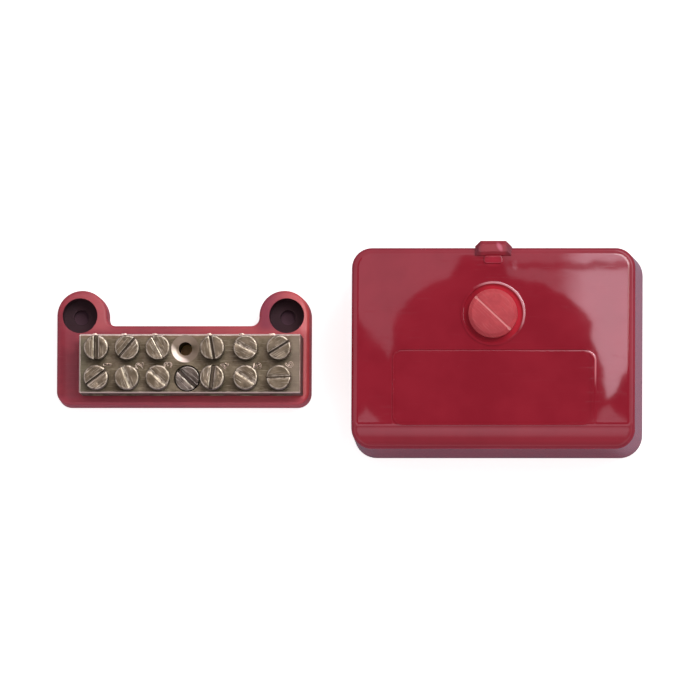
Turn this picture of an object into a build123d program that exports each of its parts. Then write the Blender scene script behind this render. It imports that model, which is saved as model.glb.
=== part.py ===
from build123d import *
import os
from math import radians, tan

# A sealable terminal block, taken apart: the base with its brass terminal bar, and the cover beside it.
# Millimetres, +Z up. The origin is midway between the two fixing holes, on the base's back face.
# The bar's six numbered ways run along Y, and each way is clamped by two screws, rear and front.

os.makedirs("parts", exist_ok=True)

# Base moulding: the wells lie a little outside the middles of the ears
ear_pitch = 67.0
hole_pitch = 68.5
ear_radius = 8.5
base_height = 11.0
body_depth = 26.6
body_rear_y = -3.2
front_corner_radius = 4.6
ear_root_radius = 2.6
base_edge_radius = 1.0
moulding_draft = 1.0
well_diameter = 11.6
fixing_hole_diameter = 5.0
ear_floor = 3.0

# Cored pockets in the base's back
core_depth = 5.5
core_wall = 3.2
core_rear_wall = 7.0
core_rib = 2.0
core_centre_block = 15.0
core_corner_radius = 1.5
cores_each_side = 2

# Terminal bar: its shift from the body's middle, and its ways measured from the cover screw's axis
bar_axis_x = 1.6
bar_shift_y = -0.4
bar_depth = 19.5
bar_height = 13.2
bar_edge = 0.35
tunnel_diameter = 7.2
tunnel_floor = 1.8
tunnel_mouth = 0.4
row_spacing = 9.85
ways_each_side = 3
left_first_way = 8.7
left_pitch = 10.2
left_end_margin = 6.0
right_first_way = 9.3
right_pitch = 11.0
right_end_margin = 7.0

# Terminal screws, with the slot angles seen from above, way by way from the left
screw_thread = 5.0
screw_thread_pitch = 0.8
screw_length = 8.0
screw_head_diameter = 8.15
screw_head_height = 3.3
screw_head_crown = 0.5
screw_slot_width = 1.15
screw_slot_depth = 1.6
screw_tip_chamfer = 0.6
screw_lift = 2.8
thread_clearance = 0.05
tap_countersink = 0.45
rear_slot_angles = (90, 52, 100, 98, -25, 30)
front_slot_angles = (36, -68, -40, 80, -33, 3)

# Countersunk tapping for the cover's screw, and the screw and nut that hold the bar on the base
cover_thread_clearance = 0.1
cover_countersink_diameter = 9.1
cover_countersink_angle = 125
fixing_screw_offset_x = 0.7
fixing_screw_diameter = 4.0
fixing_screw_length = 20.0
fixing_head_diameter = 8.2
fixing_head_height = 2.5
fixing_head_sink = 2.6
fixing_head_crown = 0.3
fixing_slot_width = 1.5
fixing_slot_depth = 1.2
fixing_slot_angle = -43
fixing_recess_clearance = 0.3
fixing_hole_clearance = 0.25
nut_across_flats = 7.0
nut_height = 3.2
nut_pocket_depth = 5.0
nut_pocket_clearance = 0.1
nut_chamfer = 0.4
snug = 0.03
peg_diameter = 2.2
peg_height = 1.5
peg_clearance = 0.1

# Cover: its outline at the rim, measured from the axis of its screw
cover_axis_x = 103.9
cover_axis_y = -1.3
cover_length = 95.3
cover_rear = 22.7
cover_front = 45.1
cover_height = 35.5
cover_wall = 1.8
cover_top_wall = 2.2
cover_corner_radius = 7.5
cover_edge_radius = 2.4
cover_inner_edge_radius = 0.8
cover_draft = 1.5
front_slope_length = 7.6
front_slope_drop = 4.5
recess_diameter = 19.8
recess_depth = 1.0
recess_lip_width = 0.7
recess_lip_height = 0.35
guide_boss_diameter = 8.4
guide_boss_length = 6.9
panel_length = 66.0
panel_depth = 25.6
panel_rear = 11.2
panel_corner_radius = 3.3
panel_line_width = 0.6
panel_line_height = 0.3

# Knock-outs for the cables, thinned from inside the front and rear walls
knockout_width = 8.6
knockout_top = 21.0
knockout_skin = 0.9

# Seal lug on the cover's rear edge
lug_width = 12.0
lug_reach = 2.2
lug_inside = 2.6
lug_rise = 1.8
lug_depth = 9.5
lug_corner = 1.8
lug_edge = 1.2
wire_hole_diameter = 1.8
wire_hole_inset = 1.5
wire_hole_drop = 3.0
lug_pad_width = 6.0
lug_pad_depth = 2.6
lug_pad_height = 1.0
lug_pad_corner = 0.8
lug_pad_edge = 0.35

# Captive screw of the cover: insulating head, brass stud and the washer that keeps it in the cover
cover_head_diameter = 16.1
cover_head_height = 3.9
cover_head_chamfer = 1.2
cover_slot_width = 0.8
cover_slot_depth = 1.2
cover_slot_angle = -43
stud_diameter = 4.3
stud_length = 19.0
stud_insert_depth = 2.4
stud_tip_chamfer = 0.5
stud_clearance = 0.6
turning_gap = 0.1
washer_diameter = 8.0
washer_thickness = 1.0

# How far apart two edges or corners may lie and still be taken as level with each other
same_place = 0.001

# Degrees in a full turn, and the least upward part of the normal of a face that counts as a top face
full_turn = 360
upward = 0.5

# Places worked out from the sizes above
body_length = ear_pitch + 2 * ear_radius
body_front_y = body_rear_y - body_depth
body_middle_y = (body_rear_y + body_front_y) / 2
bar_axis_y = body_middle_y + bar_shift_y
bar_top = base_height + bar_height
tunnel_z = base_height + tunnel_floor + tunnel_diameter / 2
rear_row_y = bar_axis_y + row_spacing / 2
front_row_y = bar_axis_y - row_spacing / 2
left_ways = [bar_axis_x - left_first_way - left_pitch * n for n in reversed(range(ways_each_side))]
right_ways = [bar_axis_x + right_first_way + right_pitch * n for n in range(ways_each_side)]
ways = left_ways + right_ways
bar_left = ways[0] - left_end_margin
bar_right = ways[-1] + right_end_margin
fixing_screw_x = bar_axis_x + fixing_screw_offset_x
peg_places = [((row[0] + row[1]) / 2, bar_axis_y) for row in (left_ways, right_ways)]
cover_middle_y = cover_axis_y + (cover_rear - cover_front) / 2
cover_depth = cover_rear + cover_front
recess_floor = cover_height - recess_depth
guide_boss_end = recess_floor - guide_boss_length
head_seat = recess_floor + turning_gap
cover_rear_y = cover_axis_y + cover_rear
cover_front_y = cover_axis_y - cover_front
draft_shift = cover_height * tan(radians(cover_draft))
cover_top_rear_y = cover_rear_y - draft_shift
slope_rear_y = cover_front_y + draft_shift + front_slope_length
way_offsets = [x - bar_axis_x for x in ways]


def edges_at(shape, height):
    """The edges of a shape that lie flat at one height."""
    return shape.edges().filter_by_position(Axis.Z, height - same_place, height + same_place)


# Base: one moulding, with a well for each fixing screw in its two ears
with BuildPart() as base:
    with BuildSketch() as base_outline:
        with Locations((0, body_middle_y)):
            Rectangle(body_length, body_depth)
        with GridLocations(ear_pitch, 0, 2, 1):
            Circle(ear_radius)
        with Locations((0, body_rear_y / 2)):
            with GridLocations(ear_pitch, 0, 2, 1):
                Rectangle(2 * ear_radius, -body_rear_y)
        fillet(base_outline.vertices().group_by(Axis.Y)[0], front_corner_radius)
        roots = base_outline.vertices().filter_by_position(
            Axis.Y, body_rear_y - same_place, body_rear_y + same_place
        )
        fillet(roots.sort_by(lambda corner: abs(corner.X))[:2], ear_root_radius)
    extrude(amount=base_height, taper=moulding_draft)
    fillet(edges_at(base, base_height), base_edge_radius)
    with Locations(Plane.XY.offset(base_height)):
        with GridLocations(hole_pitch, 0, 2, 1):
            CounterBoreHole(fixing_hole_diameter / 2, well_diameter / 2, base_height - ear_floor)
    core_span = body_length / 2 - core_wall - core_centre_block / 2
    core_width = (core_span - core_rib * (cores_each_side - 1)) / cores_each_side
    core_length = body_depth - core_wall - core_rear_wall
    core_middle_y = body_middle_y + (core_wall - core_rear_wall) / 2
    with BuildSketch() as cores:
        for side in (-1, 1):
            with Locations((side * (core_centre_block + core_span) / 2, core_middle_y)):
                with GridLocations(core_width + core_rib, 0, cores_each_side, 1):
                    RectangleRounded(core_width, core_length, core_corner_radius)
    extrude(amount=core_depth, mode=Mode.SUBTRACT)
    with BuildSketch() as nut_pocket:
        with Locations((fixing_screw_x, front_row_y)):
            RegularPolygon(nut_across_flats / 2 + nut_pocket_clearance, 6, major_radius=False)
    extrude(amount=nut_pocket_depth, mode=Mode.SUBTRACT)
    with Locations((fixing_screw_x, front_row_y, base_height)):
        Hole(fixing_screw_diameter / 2 + fixing_hole_clearance)
    with BuildSketch(Plane.XY.offset(base_height)) as pegs:
        with Locations(*peg_places):
            Circle(peg_diameter / 2)
    extrude(amount=peg_height)
base.part.label = "base"
export_step(base.part, "parts/base.step")

# Terminal bar: a brass bar with six cable tunnels, twelve tapped holes and the tapping for the cover
with BuildPart() as terminal_bar:
    with BuildSketch(Plane.XY.offset(base_height)) as bar_section:
        with Locations(((bar_left + bar_right) / 2, bar_axis_y)):
            Rectangle(bar_right - bar_left, bar_depth)
    extrude(amount=bar_height)
    chamfer(terminal_bar.edges(), bar_edge)
    bar_front = Plane(origin=(0, bar_axis_y - bar_depth / 2, tunnel_z), x_dir=(1, 0, 0), z_dir=(0, -1, 0))
    with BuildSketch(bar_front) as tunnels:
        with Locations(*[(x, 0) for x in ways]):
            Circle(tunnel_diameter / 2)
    extrude(amount=-bar_depth, mode=Mode.SUBTRACT)
    mouths = terminal_bar.edges().filter_by(GeomType.CIRCLE).filter_by_position(
        Axis.Z, tunnel_z - tunnel_diameter, tunnel_z + tunnel_diameter
    )
    chamfer(mouths, tunnel_mouth)
    with Locations(*[(x, y, bar_top) for x in ways for y in (rear_row_y, front_row_y)]):
        CounterSinkHole(
            screw_thread / 2 + thread_clearance,
            screw_thread / 2 + thread_clearance + tap_countersink,
            bar_top - tunnel_z,
        )
    with Locations((bar_axis_x, rear_row_y, bar_top)):
        CounterSinkHole(
            stud_diameter / 2 + cover_thread_clearance,
            cover_countersink_diameter / 2,
            bar_height,
            cover_countersink_angle,
        )
    with Locations((fixing_screw_x, front_row_y, bar_top)):
        CounterBoreHole(
            fixing_screw_diameter / 2 + fixing_hole_clearance,
            fixing_head_diameter / 2 + fixing_recess_clearance,
            fixing_head_sink,
            bar_height,
        )
    with BuildSketch(Plane.XY.offset(base_height)) as peg_holes:
        with Locations(*peg_places):
            Circle(peg_diameter / 2 + peg_clearance)
    extrude(amount=peg_height + peg_clearance, mode=Mode.SUBTRACT)
terminal_bar.part.label = "terminal_bar"
export_step(terminal_bar.part, "parts/terminal_bar.step")


def slotted_screw(x, y, seat, thread, length, head, head_height, crown, slot, slot_depth, angle):
    """A cheese-head screw whose head's underside lies at height seat, with its slot at angle."""
    upright = Plane(origin=(x, y, seat), x_dir=(1, 0, 0), z_dir=(0, -1, 0))
    with BuildPart() as screw:
        with BuildSketch(upright) as half_profile:
            with BuildLine():
                Polyline(
                    (0, -length),
                    (thread / 2 - screw_tip_chamfer, -length),
                    (thread / 2, screw_tip_chamfer - length),
                    (thread / 2, 0),
                    (head / 2, 0),
                    (head / 2, head_height),
                    (0, head_height),
                    close=True,
                )
            make_face()
        revolve(axis=Axis((x, y, seat), (0, 0, 1)))
        fillet(edges_at(screw, seat + head_height), crown)
        with BuildSketch(Plane.XY.offset(seat + head_height)) as slot_outline:
            with Locations((x, y)):
                Rectangle(2 * head, slot, rotation=angle)
        extrude(amount=-slot_depth, mode=Mode.SUBTRACT)
    return screw.part


# Terminal screws: two to a way, each standing off the bar by its own part of a turn
screw_rows = (("rear", rear_row_y, rear_slot_angles), ("front", front_row_y, front_slot_angles))
for way, x in enumerate(ways):
    for row, y, angles in screw_rows:
        angle = angles[way % len(angles)]
        terminal_screw = slotted_screw(
            x,
            y,
            bar_top + screw_lift + screw_thread_pitch * angle / full_turn,
            screw_thread,
            screw_length,
            screw_head_diameter,
            screw_head_height,
            screw_head_crown,
            screw_slot_width,
            screw_slot_depth,
            angle,
        )
        terminal_screw.label = f"terminal_screw_{way + 1}_{row}"
        export_step(terminal_screw, f"parts/{terminal_screw.label}.step")

# Screw and nut that hold the bar on the base
bar_fixing_screw = slotted_screw(
    fixing_screw_x,
    front_row_y,
    bar_top - fixing_head_sink,
    fixing_screw_diameter,
    fixing_screw_length,
    fixing_head_diameter,
    fixing_head_height,
    fixing_head_crown,
    fixing_slot_width,
    fixing_slot_depth,
    fixing_slot_angle,
)
bar_fixing_screw.label = "bar_fixing_screw"
export_step(bar_fixing_screw, "parts/bar_fixing_screw.step")

with BuildPart() as bar_fixing_nut:
    with BuildSketch(Plane.XY.offset(nut_pocket_depth)) as hexagon:
        with Locations((fixing_screw_x, front_row_y)):
            RegularPolygon(nut_across_flats / 2, 6, major_radius=False)
    extrude(amount=-nut_height)
    with BuildSketch(Plane.XY.offset(nut_pocket_depth)) as turned_blank:
        with Locations((fixing_screw_x, front_row_y)):
            Circle(nut_across_flats / 2 + nut_chamfer / 2)
    extrude(amount=-nut_height, mode=Mode.INTERSECT)
    with Locations((fixing_screw_x, front_row_y, nut_pocket_depth)):
        Hole(fixing_screw_diameter / 2 + snug)
bar_fixing_nut.part.label = "bar_fixing_nut"
export_step(bar_fixing_nut.part, "parts/bar_fixing_nut.step")


def cover_form(inset, top_inset, edge_radius):
    """The cover's outside form, or the form of its hollow when the insets are its walls."""
    top = cover_height - top_inset
    slope = Plane(
        origin=(cover_axis_x, slope_rear_y, top),
        x_dir=(1, 0, 0),
        z_dir=(0, -front_slope_drop, front_slope_length),
    )
    with BuildPart() as form:
        with BuildSketch() as rim:
            with Locations((cover_axis_x, cover_middle_y)):
                RectangleRounded(
                    cover_length - 2 * inset, cover_depth - 2 * inset, cover_corner_radius - inset
                )
        extrude(amount=top, taper=cover_draft)
        split(bisect_by=slope, keep=Keep.BOTTOM)
        upper_faces = form.faces().filter_by(lambda face: face.normal_at().Z > upward)
        fillet(upper_faces.edges(), edge_radius)
    return form.part


def knockout(wall_y, inward, x):
    """The pocket that thins one wall to a break-out skin; inward is 1 or -1, away from the wall."""
    skin_y = wall_y + inward * knockout_skin
    skin_plane = Plane(origin=(x, skin_y, 0), x_dir=(-inward, 0, 0), z_dir=(0, inward, 0))
    arch_centre = knockout_top - knockout_width / 2
    with BuildPart() as pocket:
        with BuildSketch(skin_plane) as arch:
            with Locations((0, arch_centre / 2)):
                Rectangle(knockout_width, arch_centre)
            with Locations((0, arch_centre)):
                Circle(knockout_width / 2)
        extrude(amount=cover_wall)
    return pocket.part


# Cover: a drafted shell with a sloped front, a recess for its screw and a lug for a seal wire
cover_outside = cover_form(0, 0, cover_edge_radius)
cover_hollow = cover_form(cover_wall, cover_top_wall, cover_inner_edge_radius)
knockouts = [
    knockout(wall_y, inward, cover_axis_x + offset)
    for wall_y, inward in ((cover_front_y, 1), (cover_rear_y, -1))
    for offset in way_offsets
]
with BuildPart() as cover:
    add(cover_outside)
    with BuildSketch(Plane.XY.offset(cover_height + lug_rise)) as lug:
        with Locations((cover_axis_x, cover_top_rear_y + (lug_reach - lug_inside) / 2)):
            Rectangle(lug_width, lug_reach + lug_inside)
        chamfer(lug.vertices().group_by(Axis.Y)[-1], lug_corner)
    extrude(amount=-lug_depth)
    chamfer(edges_at(cover, cover_height + lug_rise), lug_edge)
    with BuildSketch(Plane.XY.offset(cover_height)) as lug_pad:
        with Locations((cover_axis_x, cover_top_rear_y - lug_inside - lug_pad_depth / 2)):
            RectangleRounded(lug_pad_width, lug_pad_depth, lug_pad_corner)
    extrude(amount=lug_pad_height)
    fillet(edges_at(cover, cover_height + lug_pad_height), lug_pad_edge)
    add(cover_hollow, mode=Mode.SUBTRACT)
    with BuildSketch(Plane.XY.offset(recess_floor - cover_top_wall)) as recess_boss:
        with Locations((cover_axis_x, cover_axis_y)):
            Circle(recess_diameter / 2 + cover_wall)
    extrude(amount=cover_top_wall + recess_depth)
    with BuildSketch(Plane.XY.offset(guide_boss_end)) as guide_boss:
        with Locations((cover_axis_x, cover_axis_y)):
            Circle(guide_boss_diameter / 2)
    extrude(amount=recess_floor - guide_boss_end)
    with BuildSketch(Plane.XY.offset(cover_height)) as recess_lip:
        with Locations((cover_axis_x, cover_axis_y)):
            Circle(recess_diameter / 2 + recess_lip_width)
    extrude(amount=recess_lip_height)
    with Locations((cover_axis_x, cover_axis_y, cover_height + recess_lip_height)):
        CounterBoreHole(
            stud_diameter / 2 + stud_clearance,
            recess_diameter / 2,
            recess_depth + recess_lip_height,
            cover_height - guide_boss_end + recess_lip_height,
        )
    with BuildSketch(Plane.XY.offset(cover_height - panel_line_height)) as panel_line:
        with Locations((cover_axis_x, cover_axis_y - panel_rear - panel_depth / 2)):
            RectangleRounded(panel_length, panel_depth, panel_corner_radius)
            RectangleRounded(
                panel_length - 2 * panel_line_width,
                panel_depth - 2 * panel_line_width,
                panel_corner_radius - panel_line_width,
                mode=Mode.SUBTRACT,
            )
    extrude(amount=2 * panel_line_height)
    add(knockouts, mode=Mode.SUBTRACT)
    lug_side = Plane.YZ.offset(cover_axis_x)
    wire_hole_y = cover_top_rear_y + lug_reach - wire_hole_inset
    with BuildSketch(lug_side) as wire_hole:
        with Locations((wire_hole_y, cover_height + lug_rise - wire_hole_drop)):
            Circle(wire_hole_diameter / 2)
    extrude(amount=lug_width, both=True, mode=Mode.SUBTRACT)
cover.part.label = "cover"
export_step(cover.part, "parts/cover.step")

# Captive screw of the cover
with BuildPart() as cover_screw_head:
    with BuildSketch(Plane.XY.offset(head_seat)) as head_disc:
        with Locations((cover_axis_x, cover_axis_y)):
            Circle(cover_head_diameter / 2)
    extrude(amount=cover_head_height)
    chamfer(edges_at(cover_screw_head, head_seat + cover_head_height), cover_head_chamfer)
    with BuildSketch(Plane.XY.offset(head_seat + cover_head_height)) as head_slot:
        with Locations((cover_axis_x, cover_axis_y)):
            Rectangle(2 * cover_head_diameter, cover_slot_width, rotation=cover_slot_angle)
    extrude(amount=-cover_slot_depth, mode=Mode.SUBTRACT)
    with BuildSketch(Plane.XY.offset(head_seat)) as stud_socket:
        with Locations((cover_axis_x, cover_axis_y)):
            Circle(stud_diameter / 2 + snug)
    extrude(amount=stud_insert_depth, mode=Mode.SUBTRACT)
cover_screw_head.part.label = "cover_screw_head"
export_step(cover_screw_head.part, "parts/cover_screw_head.step")

with BuildPart() as cover_screw_stud:
    with BuildSketch(Plane.XY.offset(head_seat - stud_length)) as stud_section:
        with Locations((cover_axis_x, cover_axis_y)):
            Circle(stud_diameter / 2)
    extrude(amount=stud_length + stud_insert_depth)
    chamfer(edges_at(cover_screw_stud, head_seat - stud_length), stud_tip_chamfer)
cover_screw_stud.part.label = "cover_screw_stud"
export_step(cover_screw_stud.part, "parts/cover_screw_stud.step")

with BuildPart() as cover_screw_washer:
    with BuildSketch(Plane.XY.offset(guide_boss_end - turning_gap)) as washer_ring:
        with Locations((cover_axis_x, cover_axis_y)):
            Circle(washer_diameter / 2)
            Circle(stud_diameter / 2 + snug, mode=Mode.SUBTRACT)
    extrude(amount=-washer_thickness)
cover_screw_washer.part.label = "cover_screw_washer"
export_step(cover_screw_washer.part, "parts/cover_screw_washer.step")
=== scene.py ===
import math

import bmesh
import bpy
import numpy as np
from mathutils import Matrix, Vector


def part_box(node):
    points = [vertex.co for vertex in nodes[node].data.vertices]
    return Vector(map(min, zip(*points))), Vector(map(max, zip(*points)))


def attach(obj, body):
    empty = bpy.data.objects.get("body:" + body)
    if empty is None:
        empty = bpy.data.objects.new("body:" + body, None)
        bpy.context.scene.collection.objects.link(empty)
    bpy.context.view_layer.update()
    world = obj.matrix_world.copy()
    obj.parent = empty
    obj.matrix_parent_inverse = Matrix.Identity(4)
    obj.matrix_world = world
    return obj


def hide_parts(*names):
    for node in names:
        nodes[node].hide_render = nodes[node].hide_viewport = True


# The taken-apart terminal block in metres, in the frame of its solids: base and bar at the left,
# cover at the right.
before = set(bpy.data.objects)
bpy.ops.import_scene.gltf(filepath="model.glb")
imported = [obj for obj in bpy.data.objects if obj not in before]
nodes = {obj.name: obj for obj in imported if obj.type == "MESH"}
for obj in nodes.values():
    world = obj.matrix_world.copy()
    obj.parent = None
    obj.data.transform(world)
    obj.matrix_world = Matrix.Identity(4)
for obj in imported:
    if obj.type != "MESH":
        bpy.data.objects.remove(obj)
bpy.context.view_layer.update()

MM = 0.001
WAYS = 6
ROWS = ("rear", "front")


def middle(node):
    """The middle of a node's box."""
    low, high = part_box(node)
    return (low + high) / 2


# Camera: far off with a long lens, a little to the right of the object and in front of it, looking down
sight = Vector((0.06, -0.08, 1.0)).normalized()
target = Vector((0.055887, -0.012177, 0.020927))
camera_distance = 6.4167
across = (Vector((1, 0, 0)) - sight * sight.x).normalized()
upward = sight.cross(across)
lens = bpy.data.cameras.new("photo_camera")
lens.lens = 1000.0
lens.sensor_width = 36.0
lens.clip_end = 50.0
camera = bpy.data.objects.new("photo_camera", lens)
turn = Matrix((across, upward, sight)).transposed()
camera.matrix_world = Matrix.Translation(target + sight * camera_distance) @ turn.to_4x4()
bpy.context.scene.collection.objects.link(camera)
bpy.context.scene.camera = camera


# How far above its least value a scratch's noise rises before the scratch is whole
SCRATCH_EDGE = 0.06


class Wire:
    """A shader output that takes part in Python arithmetic; each operator adds one Math node."""

    def __init__(self, shade, socket):
        self.shade = shade
        self.socket = socket

    def __add__(self, other):
        return self.shade.math("ADD", self, other)

    def __radd__(self, other):
        return self.shade.math("ADD", other, self)

    def __sub__(self, other):
        return self.shade.math("SUBTRACT", self, other)

    def __rsub__(self, other):
        return self.shade.math("SUBTRACT", other, self)

    def __mul__(self, other):
        return self.shade.math("MULTIPLY", self, other)

    def __rmul__(self, other):
        return self.shade.math("MULTIPLY", other, self)

    def __truediv__(self, other):
        return self.shade.math("DIVIDE", self, other)

    def __pow__(self, other):
        return self.shade.math("POWER", self, other)

    def __gt__(self, other):
        return self.shade.math("GREATER_THAN", self, other)

    def __lt__(self, other):
        return self.shade.math("LESS_THAN", self, other)

    def __abs__(self):
        return self.shade.math("ABSOLUTE", self)


class Shade:
    """The node tree of one finish or of the world, with the few ways of adding to it that they need."""

    def __init__(self, tree):
        self.tree = tree

    def feed(self, socket, value):
        """Link a wire to a socket, or set the socket's own value."""
        if isinstance(value, Wire):
            self.tree.links.new(value.socket, socket)
        else:
            socket.default_value = value

    def node(self, kind, settings=None, sockets=None, output=0):
        """Add a node of a kind: its settings first, then its sockets."""
        made = self.tree.nodes.new(kind)
        for name, value in (settings or {}).items():
            setattr(made, name, value)
        for place, value in (sockets or {}).items():
            self.feed(made.inputs[place], value)
        return Wire(self, made.outputs[output])

    def math(self, operation, *values):
        return self.node("ShaderNodeMath", {"operation": operation}, dict(enumerate(values)))

    def vector(self, operation, *values):
        return self.node("ShaderNodeVectorMath", {"operation": operation}, dict(enumerate(values)))

    def parts(self, vector):
        """The x, y and z of a vector."""
        split = self.node("ShaderNodeSeparateXYZ", None, {0: vector})
        return [Wire(self, socket) for socket in split.socket.node.outputs]

    def length(self, x, y):
        """The length of a flat vector, sqrt(x^2 + y^2)."""
        return self.math("SQRT", x * x + y * y)

    def mix(self, share, first, second):
        """A colour share of the way from the first to the second."""
        settings = {"data_type": "RGBA", "clamp_factor": True}
        ends = [end if isinstance(end, Wire) else (*end, 1.0) for end in (first, second)]
        return self.node("ShaderNodeMix", settings, {0: share, 6: ends[0], 7: ends[1]}, 2)

    def rise(self, value, low, high):
        """0 below low, 1 above high and smooth between; high below low makes it fall instead."""
        if high < low:
            return 1.0 - self.rise(value, high, low)
        settings = {"interpolation_type": "SMOOTHSTEP"}
        return self.node("ShaderNodeMapRange", settings, {0: value, 1: low, 2: high})

    def noise(self, place, scale, detail=2.0, roughness=0.5, distortion=0.0, output=0):
        """Fractal noise: its value as output 0, or three values as a colour as output 1."""
        sockets = {
            "Vector": place,
            "Scale": scale,
            "Detail": detail,
            "Roughness": roughness,
            "Distortion": distortion,
        }
        return self.node("ShaderNodeTexNoise", None, sockets, output)

    def moved(self, place, scale, degrees=0.0):
        """A pattern's place, turned about the vertical and then stretched."""
        turned = {"Vector": place, "Rotation": (0, 0, math.radians(degrees)), "Scale": scale}
        return self.node("ShaderNodeMapping", None, turned)

    def scratches(self, place, turns, scale, fineness, rarity):
        """Fine straight lines in several directions: noise stretched along each, kept only at its peaks."""
        total = 0.0
        for degrees in turns:
            drawn = self.moved(place, (scale, scale * fineness, scale), degrees)
            total = self.rise(self.noise(drawn, 1.0, 1.0), rarity, rarity + SCRATCH_EDGE) + total
        return total


class Finish(Shade):
    """A material: its principled shader, its object coordinates and its relief."""

    def __init__(self, name):
        self.material = bpy.data.materials.new(name)
        self.material.use_nodes = True
        super().__init__(self.material.node_tree)
        self.body = self.tree.nodes["Principled BSDF"]
        self.place = self.node("ShaderNodeTexCoord", output=3)
        self.grain = None

    def set(self, **sockets):
        """Set or link sockets of the principled shader, named with underscores for spaces."""
        for name, value in sockets.items():
            self.feed(self.body.inputs[name.replace("_", " ")], value)

    def relief(self, height):
        """Bump by a height in metres, on top of any relief that is there."""
        sockets = {"Strength": 1.0, "Distance": 1.0, "Height": height}
        if self.grain is not None:
            sockets["Normal"] = self.grain
        self.grain = self.node("ShaderNodeBump", None, sockets)
        self.feed(self.body.inputs["Normal"], self.grain)

    def layer(self, name, output=2):
        """A layer of the mesh's own values: a number as output 2, or a vector as output 1."""
        return self.node("ShaderNodeAttribute", {"attribute_name": name}, output=output)

    def from_point(self, point):
        """The x, y and z of the place, measured from a point."""
        return self.parts(self.vector("SUBTRACT", self.place, tuple(point)))

    def spot(self, x, y, wide, tall):
        """1 at the middle of a soft oval, falling to 0 at its edge."""
        return self.rise((x / wide) ** 2.0 + (y / tall) ** 2.0, 1.0, 0.0)

    def rounded(self, x, y, half_wide, half_tall, corner):
        """The distance outside a rectangle with rounded corners, negative within it."""
        over_x = abs(x) - (half_wide - corner)
        over_y = abs(y) - (half_tall - corner)
        far_x, far_y = self.math("MAXIMUM", over_x, 0.0), self.math("MAXIMUM", over_y, 0.0)
        inner = self.math("MINIMUM", self.math("MAXIMUM", over_x, over_y), 0.0)
        return self.length(far_x, far_y) + inner - corner

    def tilt(self, slope_x, slope_y):
        """Lean the surface as if its height fell by these slopes, without any step in its shape."""
        normal = self.node("ShaderNodeNewGeometry", output=1)
        lean = self.node("ShaderNodeCombineXYZ", None, {0: slope_x, 1: slope_y, 2: 0.0})
        self.grain = self.vector("NORMALIZE", self.vector("ADD", normal, lean))
        self.feed(self.body.inputs["Normal"], self.grain)


# Places read from the solids
bar_low, bar_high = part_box("terminal_bar")
cover_head_low, cover_head_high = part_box("cover_screw_head")
cover_axis = middle("cover_screw_head")
stud_low, stud_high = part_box("cover_screw_stud")

# The base and the bar: top of the base, its wells, and the countersunk hole in the bar's rear row
BASE_TOP = 11.0 * MM
WELL_X = 34.25 * MM
WELL_RADIUS = 5.8 * MM
EAR_X = 33.5 * MM
COUNTERSINK_RADIUS = 4.4 * MM
TURNED_RING_PITCH = 0.22 * MM
hole_axis = Vector((1.6 * MM, middle("terminal_screw_1_rear").y, bar_high.z))

# The cover, measured from its screw's axis: the raised frame, the recess with its lip, and the lug
FRAME_X, FRAME_Y = 0.4 * MM, -25.4 * MM
FRAME_HALF_WIDE, FRAME_HALF_TALL = 33.4 * MM, 12.9 * MM
FRAME_CORNER = 3.2 * MM
RECESS_RADIUS = 9.8 * MM
LIP_RADIUS = 10.25 * MM
LUG_HALF_WIDTH = 6.2 * MM
LUG_FRONT = 18.5 * MM
PAD_Y = 17.3 * MM

# Lean of the crowned top for each metre from the axis
COVER_CROWN = 1 / 0.88


def brass(name, colour, tarnish, bright, rough, own_place=None):
    """Turned or drawn brass gone dull: patches of tarnish, fine scratches and small dents."""
    finish = Finish(name)
    place = own_place(finish) if own_place else finish.place
    patches = finish.rise(finish.noise(place, 260.0, 4.0, 0.62), 0.36, 0.66)
    grime = finish.rise(finish.noise(place, 900.0, 3.0, 0.6), 0.44, 0.72)
    lines = finish.scratches(place, turns=(12, 71, 128), scale=180.0, fineness=22.0, rarity=0.66)
    tone = finish.mix(patches, tarnish, colour)
    tone = finish.mix(grime * 0.35, tone, tarnish)
    tone = finish.mix(lines * 0.45, tone, bright)
    finish.set(Base_Color=tone, Metallic=0.9, Roughness=rough + 0.16 * grime - 0.08 * lines)
    height = finish.noise(place, 420.0, 3.0, 0.55) * 9e-6 - lines * 2.0e-6
    finish.relief(height)
    return finish, place, tone


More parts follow.
